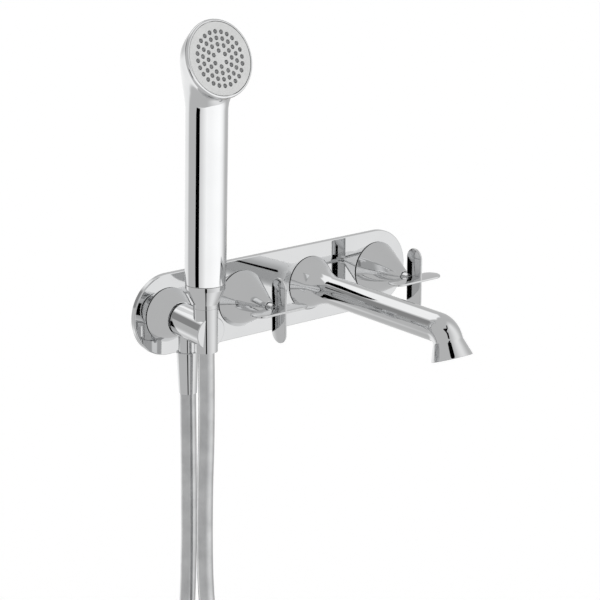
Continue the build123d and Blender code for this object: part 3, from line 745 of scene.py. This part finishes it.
# spout
spoutPlan = {
    "slope": 1.6, "baseRadius": 24.8, "radius": 12.9, "coneSlope": 0.514, "flareRound": 45.0,
    "bend": 14.0, "mouthY": -188.9, "mouthZ": -28.1, "mouthRadius": 18.0, "mouthTilt": 20.0,
    "wall": 2.3, "lip": 0.5, "mouthLip": 0.3, "throat": 9.0, "throatTaper": 2.2,
    "footLead": 1.5,       # drawn this far behind the plate's front, then cut at its own foot
    "coneSteps": 12, "flareSteps": 40, "tubeSteps": 12, "bendSteps": 48, "noseSteps": 10, "around": 192,
}


def makeSpout(plan):
    spoutX = middleX("spout_body")
    slope, tilt = radians(plan["slope"]), radians(plan["mouthTilt"])
    tubeWay = Vector((0, -cos(slope), -sin(slope)))
    noseWay = Vector((0, -sin(tilt), -cos(tilt)))
    base = Vector((spoutX, frontY, 0))
    mouth = Vector((spoutX, plan["mouthY"], plan["mouthZ"]))
    gap = mouth - base
    cross = tubeWay.y * noseWay.z - tubeWay.z * noseWay.y
    corner = base + tubeWay * ((gap.y * noseWay.z - gap.z * noseWay.y) / cross)
    bendTurn = pi / 2 - slope - tilt
    setback = plan["bend"] * tan(bendTurn / 2)
    bendStart = corner - tubeWay * setback
    bendEnd = corner + noseWay * setback
    bendCentre = bendStart + Vector((0, sin(slope), -cos(slope))) * plan["bend"]
    radius = plan["radius"]
    # flare: a straight cone rounded into the tube
    coneTurn = atan2(plan["coneSlope"], 1)
    flareCorner = (plan["baseRadius"] - radius) / plan["coneSlope"]
    roundEnd = flareCorner + plan["flareRound"] * tan(coneTurn / 2)
    foot, coneSlope, flareRound = plan["baseRadius"], plan["coneSlope"], plan["flareRound"]
    rings = [(-plan["footLead"], foot + plan["footLead"] * coneSlope)]
    coneEnd = roundEnd - flareRound * sin(coneTurn)
    coneSteps, flareSteps, tubeSteps = plan["coneSteps"], plan["flareSteps"], plan["tubeSteps"]
    for step in range(coneSteps):
        along = coneEnd * step / coneSteps
        rings.append((along, foot - along * coneSlope))
    for step in range(flareSteps + 1):
        turn = coneTurn * (1 - step / flareSteps)
        rings.append((roundEnd - flareRound * sin(turn), radius + flareRound * (1 - cos(turn))))
    tubeLong = (bendStart - base).length
    for step in range(1, tubeSteps + 1):
        rings.append((roundEnd + (tubeLong - roundEnd) * step / tubeSteps, radius))
    places = [ringPlace(base + tubeWay * along, tubeWay, size) for along, size in rings]
    for step in range(1, plan["bendSteps"] + 1):
        spin = Matrix.Rotation(bendTurn * step / plan["bendSteps"], 4, "X")
        centre = bendCentre + spin @ (bendStart - bendCentre)
        places.append(ringPlace(centre, spin @ tubeWay, radius))
    nose = (mouth - bendEnd).length
    lip = plan["lip"]
    for step in range(1, plan["noseSteps"] + 1):
        share = step / plan["noseSteps"]
        size = radius + (plan["mouthRadius"] - radius) * share
        places.append(ringPlace(bendEnd + noseWay * nose * share * (1 - lip / nose), noseWay, size))
    for turn in range(15, 91, 15):
        roll = radians(turn)
        depth = lip * (1 - sin(roll))
        size = plan["mouthRadius"] - lip + lip * cos(roll)
        places.append(ringPlace(mouth - noseWay * depth, noseWay, size))
    inner = plan["mouthRadius"] - plan["wall"]
    places.append(ringPlace(mouth, noseWay, inner + plan["mouthLip"]))
    places.append(ringPlace(mouth - noseWay * plan["mouthLip"], noseWay, inner))
    places.append(ringPlace(mouth - noseWay * plan["throat"], noseWay, inner - plan["throatTaper"]))
    bm = cutAtDepth(ringLoft(places, plan["around"]), nodeBox("spout_body")[1].y)
    handOver(bm, "spout", "root", "polished_chrome", ["spout_body"], sharp=40)


makeSpout(spoutPlan)
print("spout made")


# CAD nodes that stay: each takes the finish of its own slot
def dressNodes():
    for name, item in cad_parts.items():
        for place in item.material_slots:
            slotName = place.material.name.split(".")[0] if place.material else ""
            if slotName in finishes:
                place.material = finishes[slotName]


dressNodes()
print("nodes dressed")

# stage: pale floor, soft surroundings, black flags and a bright screen
stagePlan = {
    "floorDrop": 0.03,
    "floorSize": 40.0,
    "floorShade": 0.9,
    "floorGlow": 0.35,
    "base": 0.61,
    "panels": [
        {"azimuth": 33.5, "half": 33.5, "softLeft": 40, "softRight": 27, "low": -72, "high": 70, "softEl": 12,
         "value": 1.03},
        {"azimuth": 180, "half": 30, "softLeft": 8, "softRight": 8, "low": -36, "high": -4, "softEl": 5,
         "value": 1.07},
        {"azimuth": 178, "half": 34, "softLeft": 6, "softRight": 6, "low": 37.5, "high": 66, "softEl": 4,
         "value": 1.2},
        {"azimuth": -150, "half": 17, "softLeft": 3, "softRight": 3, "low": 7, "high": 34, "softEl": 2,
         "value": 0.31},
    ],
    # black flags: each a ribbon of (azimuth from, azimuth to, elevation) stations round a centre,
    # black for the named pieces, or for all but those, and as pale as the room for the others
    "flags": [
        {"name": "stripeFlag", "centre": (-120, -57, 110), "distance": 1.5, "behind": 0.61,
         "blackFor": ["handsetShell"], "stations": [(-97, -75, -28), (-97, -75, -4)]},
        {"name": "cameraFlag", "centre": (0, -60, 0), "distance": 12.0, "behind": 0.61,
         "paleFor": ["handsetShell", "hoseSleeve", "outletCone", "spout"],
         "stations": [(-41.5, -29, -70), (-41.5, -29, 24)]},
        {"name": "noseFlag", "centre": (40, -190, -15), "distance": 3.0, "behind": 0.61,
         "blackFor": ["spout"],
         "stations": [(-42, -29, 22), (-43, -28, 36), (-50, -28, 43), (-66, -38, 47), (-66, -34, 51),
                      (-30, -14, 60), (-15, 8, 72)]},
        {"name": "spoutFlag", "centre": (40, -75, 12), "distance": 0.6, "behind": 0.9,
         "blackFor": ["spout"], "stations": [(-159, -147, 35.5), (-167, -149, 39), (-174, -156, 44)]},
    ],
    # a bright screen that only the hand shower's shell mirrors
    "screen": {"from": -100, "to": 90, "distance": 1.6, "low": -0.9, "high": 0.35, "steps": 48,
               "glow": [(-97, 0), (-59, 0.39), (-35, 0.68), (20, 0.40), (60, 0.29), (84, 0)]},
}


def makePanelGroup():
    # one soft-edged panel of the surroundings laid over what is behind it
    group = bpy.data.node_groups.new("studioPanel", "ShaderNodeTree")
    names = ("Azimuth", "Elevation", "Centre", "Half", "Soft Left", "Soft Right", "Low", "High", "Soft Up",
             "Value", "Under")
    for name in names:
        group.interface.new_socket(name=name, in_out="INPUT", socket_type="NodeSocketFloat")
    group.interface.new_socket(name="Light", in_out="OUTPUT", socket_type="NodeSocketFloat")
    start = newNode(group, "NodeGroupInput", (-900, 0))
    end = newNode(group, "NodeGroupOutput", (900, 0))
    link = group.links.new

    def combined(operation, first, second):
        node = newNode(group, "ShaderNodeMath", (0, 0), operation=operation)
        for index, source in enumerate((first, second)):
            if isinstance(source, (int, float)):
                node.inputs[index].default_value = source
            else:
                link(source, node.inputs[index])
        return node.outputs[0]

    def edge(value, centre, soft, rising):
        node = newNode(group, "ShaderNodeMapRange", (0, 0), interpolation_type="SMOOTHSTEP")
        link(value, node.inputs["Value"])
        link(combined("SUBTRACT", centre, soft), node.inputs["From Min"])
        link(combined("ADD", centre, soft), node.inputs["From Max"])
        node.inputs["To Min"].default_value = 0 if rising else 1
        node.inputs["To Max"].default_value = 1 if rising else 0
        return node.outputs["Result"]

    given = start.outputs
    wrap = newNode(group, "ShaderNodeMath", (-500, 200), operation="WRAP")
    link(combined("SUBTRACT", given["Azimuth"], given["Centre"]), wrap.inputs[0])
    wrap.inputs[1].default_value = 180
    wrap.inputs[2].default_value = -180
    offset = wrap.outputs[0]
    leftEdge = combined("MULTIPLY", given["Half"], -1)
    mask = combined("MULTIPLY", edge(offset, leftEdge, given["Soft Left"], True),
                edge(offset, given["Half"], given["Soft Right"], False))
    mask = combined("MULTIPLY", mask, edge(given["Elevation"], given["Low"], given["Soft Up"], True))
    mask = combined("MULTIPLY", mask, edge(given["Elevation"], given["High"], given["Soft Up"], False))
    blend = newNode(group, "ShaderNodeMix", (600, 0), data_type="FLOAT")
    link(mask, blend.inputs["Factor"])
    link(given["Under"], blend.inputs["A"])
    link(given["Value"], blend.inputs["B"])
    link(blend.outputs["Result"], end.inputs["Light"])
    return group


def makeSurroundings(plan):
    world = bpy.data.worlds.new("studio")
    bpy.context.scene.world = world
    world.use_nodes = True
    tree = world.node_tree
    link = tree.links.new
    backdrop = tree.nodes["Background"]
    coords = newNode(tree, "ShaderNodeTexCoord", (-1400, 0))
    parts = newNode(tree, "ShaderNodeSeparateXYZ", (-1200, 0))
    link(coords.outputs["Generated"], parts.inputs["Vector"])

    def degreesOf(operation, *sources):
        node = newNode(tree, "ShaderNodeMath", (-1000, 0), operation=operation)
        for index, source in enumerate(sources):
            link(source, node.inputs[index])
        degrees = newNode(tree, "ShaderNodeMath", (-800, 0), operation="DEGREES")
        link(node.outputs[0], degrees.inputs[0])
        return degrees.outputs[0]

    flipped = newNode(tree, "ShaderNodeMath", (-1100, -200), operation="MULTIPLY")
    flipped.inputs[1].default_value = -1
    link(parts.outputs["Y"], flipped.inputs[0])
    azimuth = degreesOf("ARCTAN2", parts.outputs["X"], flipped.outputs[0])
    elevation = degreesOf("ARCSINE", parts.outputs["Z"])
    panelGroup = makePanelGroup()
    light = None
    for index, panel in enumerate(plan["panels"]):
        node = newNode(tree, "ShaderNodeGroup", (-500 + 220 * index, 0), node_tree=panelGroup)
        link(azimuth, node.inputs["Azimuth"])
        link(elevation, node.inputs["Elevation"])
        for key, name in (("azimuth", "Centre"), ("half", "Half"), ("softLeft", "Soft Left"),
                          ("softRight", "Soft Right"), ("low", "Low"), ("high", "High"),
                          ("softEl", "Soft Up"), ("value", "Value")):
            node.inputs[name].default_value = panel[key]
        if light is None:
            node.inputs["Under"].default_value = plan["base"]
        else:
            link(light, node.inputs["Under"])
        light = node.outputs["Light"]
    link(light, backdrop.inputs["Color"])


def makeFloor(plan):
    bm = bmesh.new()
    bmesh.ops.create_grid(bm, x_segments=1, y_segments=1, size=plan["floorSize"] / 2)
    bmesh.ops.translate(bm, vec=(0, 0, cadLow.z - plan["floorDrop"]), verts=bm.verts)
    mesh = bpy.data.meshes.new("floor")
    bm.to_mesh(mesh)
    bm.free()
    floor = bpy.data.objects.new("floor", mesh)
    bpy.context.scene.collection.objects.link(floor)
    material = bpy.data.materials.new("pale floor")
    material.use_nodes = True
    shader = material.node_tree.nodes["Principled BSDF"]
    shader.inputs["Base Color"].default_value = (*[plan["floorShade"]] * 3, 1)
    shader.inputs["Roughness"].default_value = 0.9
    shader.inputs["Emission Color"].default_value = (1, 1, 1, 1)
    shader.inputs["Emission Strength"].default_value = plan["floorGlow"]
    mesh.materials.append(material)
    floor.visible_glossy = False


def addStage(bm, name, material):
    mesh = bpy.data.meshes.new(name)
    bm.to_mesh(mesh)
    bm.free()
    mesh.materials.append(material)
    item = bpy.data.objects.new(name, mesh)
    bpy.context.scene.collection.objects.link(item)
    item.visible_camera = False
    item.visible_diffuse = False
    item.visible_shadow = False
    return item


def makeScreen(plan):
    # upright arc about the holder
    start = radians(plan["from"])
    toward = Vector((sin(start), -cos(start), 0)) * plan["distance"]
    bm = bmesh.new()
    ends = [bm.verts.new(toward + Vector((0, 0, plan[key]))) for key in ("low", "high")]
    edge = bm.edges.new(ends)
    bmesh.ops.spin(bm, geom=[*ends, edge], cent=(0, 0, 0), axis=(0, 0, 1), angle=radians(plan["to"]) - start,
                   steps=plan["steps"], use_merge=False)
    screen = addStage(bm, "handShowerScreen", makeGlowMaterial(plan))
    screen.location = Vector((holderX, tubeY, 0)) * mm
    shareLight("handShowerScreen", ["handsetShell"], False)


def makeClothMaterial(behind):
    material = bpy.data.materials.new("cloth")
    material.use_nodes = True
    shader = material.node_tree.nodes["Principled BSDF"]
    shader.inputs["Base Color"].default_value = (0, 0, 0, 1)
    shader.inputs["Roughness"].default_value = 1
    shader.inputs["Specular IOR Level"].default_value = 0
    shader.inputs["Emission Color"].default_value = (1, 1, 1, 1)
    shader.inputs["Emission Strength"].default_value = behind
    return material


def makeFlag(plan):
    centre = Vector(plan["centre"]) * mm
    bm = bmesh.new()
    last = []
    for first, second, height in plan["stations"]:
        elevation = radians(height)
        ends = []
        for azimuth in (radians(first), radians(second)):
            way = Vector((sin(azimuth) * cos(elevation), -cos(azimuth) * cos(elevation), sin(elevation)))
            ends.append(bm.verts.new(centre + way * plan["distance"]))
        if last:
            bmesh.ops.contextual_create(bm, geom=[*last, *ends[::-1]])
        last = ends
    addStage(bm, plan["name"], makeClothMaterial(plan["behind"]))
    shareLight(plan["name"], plan.get("paleFor") or plan["blackFor"], "blackFor" in plan)


def shareLight(name, pieces, allBut):
    # the light of a flag or screen reaches only these pieces, or all but these
    group = bpy.data.collections.new(name + " pieces")
    for piece in pieces:
        group.objects.link(bpy.data.objects[piece])
    bpy.data.objects[name].light_linking.receiver_collection = group
    if allBut:
        for member in group.collection_objects:
            member.light_linking.link_state = "EXCLUDE"


def makeGlowMaterial(plan):
    # light that rises and fades along the arc, with nothing behind it hidden
    material = bpy.data.materials.new("soft screen")
    material.use_nodes = True
    tree = material.node_tree
    tree.nodes.clear()
    link = tree.links.new
    coords = newNode(tree, "ShaderNodeTexCoord", (-900, 0))
    parts = newNode(tree, "ShaderNodeSeparateXYZ", (-720, 0))
    flipped = newNode(tree, "ShaderNodeMath", (-560, -120), operation="MULTIPLY")
    flipped.inputs[1].default_value = -1
    angle = newNode(tree, "ShaderNodeMath", (-400, 0), operation="ARCTAN2")
    share = newNode(tree, "ShaderNodeMapRange", (-240, 0))
    share.inputs["From Min"].default_value = radians(plan["from"])
    share.inputs["From Max"].default_value = radians(plan["to"])
    ramp = newNode(tree, "ShaderNodeValToRGB", (-60, 0))
    stops = ramp.color_ramp.elements
    while len(stops) < len(plan["glow"]):
        stops.new(1)
    for stop, (azimuth, value) in zip(stops, plan["glow"]):
        stop.position = (azimuth - plan["from"]) / (plan["to"] - plan["from"])
        stop.color = (value, value, value, 1)
    glow = newNode(tree, "ShaderNodeEmission", (240, 0))
    clear = newNode(tree, "ShaderNodeBsdfTransparent", (240, -150))
    both = newNode(tree, "ShaderNodeAddShader", (420, 0))
    end = newNode(tree, "ShaderNodeOutputMaterial", (600, 0))
    link(coords.outputs["Object"], parts.inputs["Vector"])
    link(parts.outputs["Y"], flipped.inputs[0])
    link(parts.outputs["X"], angle.inputs[0])
    link(flipped.outputs[0], angle.inputs[1])
    link(angle.outputs[0], share.inputs["Value"])
    link(share.outputs["Result"], ramp.inputs["Fac"])
    link(ramp.outputs["Color"], glow.inputs["Color"])
    link(glow.outputs[0], both.inputs[0])
    link(clear.outputs[0], both.inputs[1])
    link(both.outputs[0], end.inputs["Surface"])
    return material


makeSurroundings(stagePlan)
makeFloor(stagePlan)
for plan in stagePlan["flags"]:
    makeFlag(plan)
makeScreen(stagePlan["screen"])
bpy.context.scene.view_settings.view_transform = "Standard"
print("stage set")
